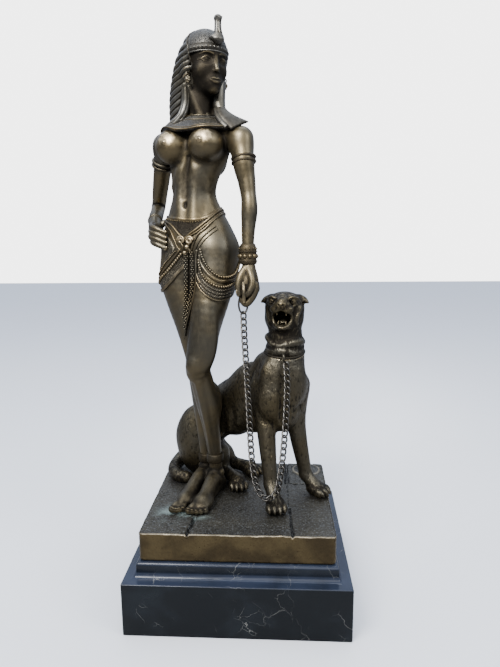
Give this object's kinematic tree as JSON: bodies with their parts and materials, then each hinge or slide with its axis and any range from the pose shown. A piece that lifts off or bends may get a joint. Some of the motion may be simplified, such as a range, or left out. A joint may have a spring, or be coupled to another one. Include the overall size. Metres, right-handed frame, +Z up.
{
  "type": "egyptian queen statue",
  "caption": "Cast bronze queen in Egyptian dress holding a sitting panther on a chain, on a ground slab and a stepped stone plinth.",
  "frame": {"origin": "centre of the plinth's underside", "axes": "+Z up, the figures face -Y, +X is to the right seen from the front"},
  "size_m": [0.14, 0.127, 0.3708],
  "materials": {
    "marble": "polished black stone with thin pale veins",
    "bright_bronze": "dark cast top, rubbed bright on the front face",
    "bronze": "dark brown patina, rubbed golden on raised parts",
    "chain_metal": "darkened metal wire"
  },
  "bodies": {
    "root": {"marble_plinth": "marble", "bronze_slab": "bright_bronze", "queen": "bronze", "panther": "bronze", "hand_ring": "chain_metal", "chain_link_01": "chain_metal", "chain_link_02": "chain_metal", "chain_link_03": "chain_metal", "chain_link_04": "chain_metal", "chain_link_05": "chain_metal", "chain_link_06": "chain_metal", "chain_link_07": "chain_metal", "chain_link_08": "chain_metal", "chain_link_09": "chain_metal", "chain_link_10": "chain_metal", "chain_link_11": "chain_metal", "chain_link_12": "chain_metal", "chain_link_13": "chain_metal", "chain_link_14": "chain_metal", "chain_link_15": "chain_metal", "chain_link_16": "chain_metal", "chain_link_17": "chain_metal", "chain_link_18": "chain_metal", "chain_link_19": "chain_metal", "chain_link_20": "chain_metal", "chain_link_21": "chain_metal", "chain_link_22": "chain_metal", "chain_link_23": "chain_metal", "chain_link_24": "chain_metal", "chain_link_25": "chain_metal", "chain_link_26": "chain_metal", "chain_link_27": "chain_metal", "chain_link_28": "chain_metal", "chain_link_29": "chain_metal", "chain_link_30": "chain_metal", "chain_link_31": "chain_metal", "chain_link_32": "chain_metal", "chain_link_33": "chain_metal", "chain_link_34": "chain_metal", "chain_link_35": "chain_metal", "chain_link_36": "chain_metal", "chain_link_37": "chain_metal", "chain_link_38": "chain_metal", "chain_link_39": "chain_metal", "chain_link_40": "chain_metal", "chain_link_41": "chain_metal", "chain_link_42": "chain_metal", "chain_link_43": "chain_metal", "chain_link_44": "chain_metal", "chain_link_45": "chain_metal", "chain_link_46": "chain_metal", "chain_link_47": "chain_metal", "chain_link_48": "chain_metal", "chain_link_49": "chain_metal", "chain_link_50": "chain_metal", "chain_link_51": "chain_metal", "chain_link_52": "chain_metal", "chain_link_53": "chain_metal", "chain_link_54": "chain_metal"}
  },
  "joints": []
}
